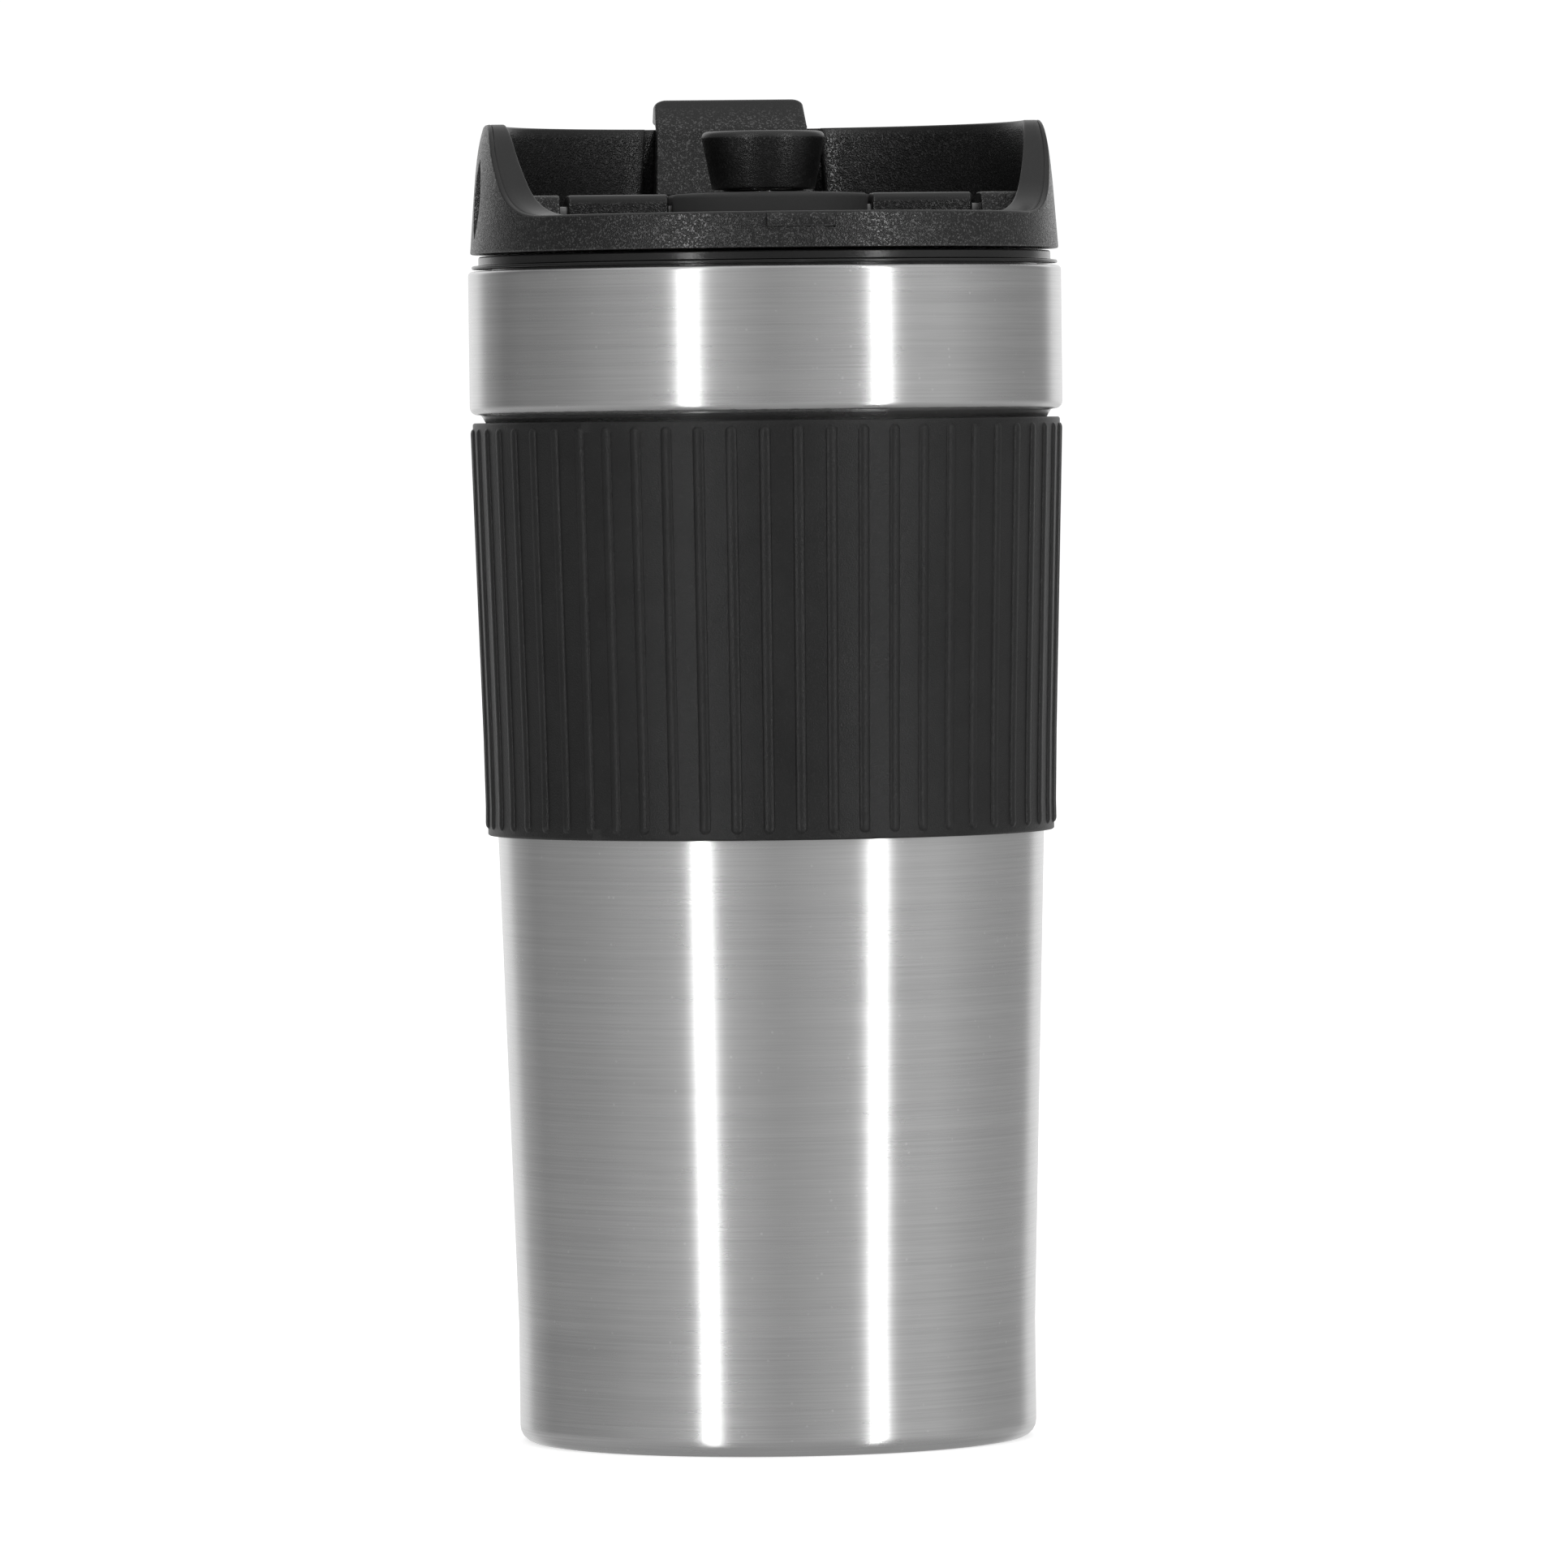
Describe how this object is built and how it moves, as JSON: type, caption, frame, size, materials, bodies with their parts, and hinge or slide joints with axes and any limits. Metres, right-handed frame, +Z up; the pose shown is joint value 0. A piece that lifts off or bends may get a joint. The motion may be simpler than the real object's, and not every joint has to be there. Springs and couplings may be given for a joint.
{
  "type": "insulated travel press mug",
  "caption": "Double-walled steel travel mug with a ribbed grip, saddle-shaped screw lid, flip drinking flap and a coffee press with a conical pull knob.",
  "frame": {"origin": "centre of the foot, on the surface the mug stands on", "axes": "+Z up along the mug's axis, -Y towards the low front of the lid, +Y towards the thumb tab, +X to the right seen from the front"},
  "size_m": [0.08, 0.08, 0.1818],
  "materials": {
    "brushed_steel": "brushed around the body, satin",
    "base_steel": "spun, satin",
    "liner_steel": "electropolished, satin",
    "grip_rubber": "matte moulded rubber",
    "collar_plastic": "smooth, semi-gloss",
    "lid_plastic": "spark-textured, sharp glints",
    "flap_plastic": "spark-textured face, smooth rounded edges",
    "seal_silicone": "soft, satin",
    "pin_steel": "ground",
    "knob_plastic": "fine texture, smooth top edge",
    "rod_steel": "polished",
    "filter_steel": "stamped sheet",
    "mesh_steel": "woven wire mesh"
  },
  "bodies": {
    "mug": {"outer_shell": "brushed_steel", "inner_liner": "liner_steel", "base_plate": "base_steel", "grip_sleeve": "grip_rubber", "thread_collar": "collar_plastic"},
    "lid_seal": {"lid_gasket": "seal_silicone"},
    "lid": {"lid_shell": "lid_plastic", "lid_insert": "lid_plastic", "centre_boss": "lid_plastic", "rod_seal": "seal_silicone", "hinge_pin_left": "pin_steel", "hinge_pin_right": "pin_steel"},
    "flap": {"drinking_flap": "flap_plastic", "flap_seal": "seal_silicone"},
    "plunger": {"plunger_knob": "knob_plastic", "plunger_rod": "rod_steel", "press_nut": "rod_steel", "spiral_plate": "filter_steel", "spring_ring": "rod_steel", "filter_mesh": "mesh_steel", "cross_plate": "filter_steel"}
  },
  "joints": [
    {"name": "lid_lift", "type": "slide", "parent": "mug", "child": "lid_seal", "axis": [0, 0, 1], "range_m": [0, 0.006]},
    {"name": "lid_turn", "type": "hinge", "parent": "lid_seal", "child": "lid", "pos_m": [0, 0, 0.1603], "axis": [0, 0, 1], "range_deg": [0, 360]},
    {"name": "flap_hinge", "type": "hinge", "parent": "lid", "child": "flap", "pos_m": [0, -0.0052, 0.1656], "axis": [1, 0, 0], "range_deg": [0, 176]},
    {"name": "plunger_pull", "type": "slide", "parent": "lid", "child": "plunger", "axis": [0, 0, 1], "range_m": [0, 0.115]}
  ],
  "couplings": [
    {"joint": "lid_lift", "follows": "lid_turn", "m_per_rad": 0.00095493}
  ]
}
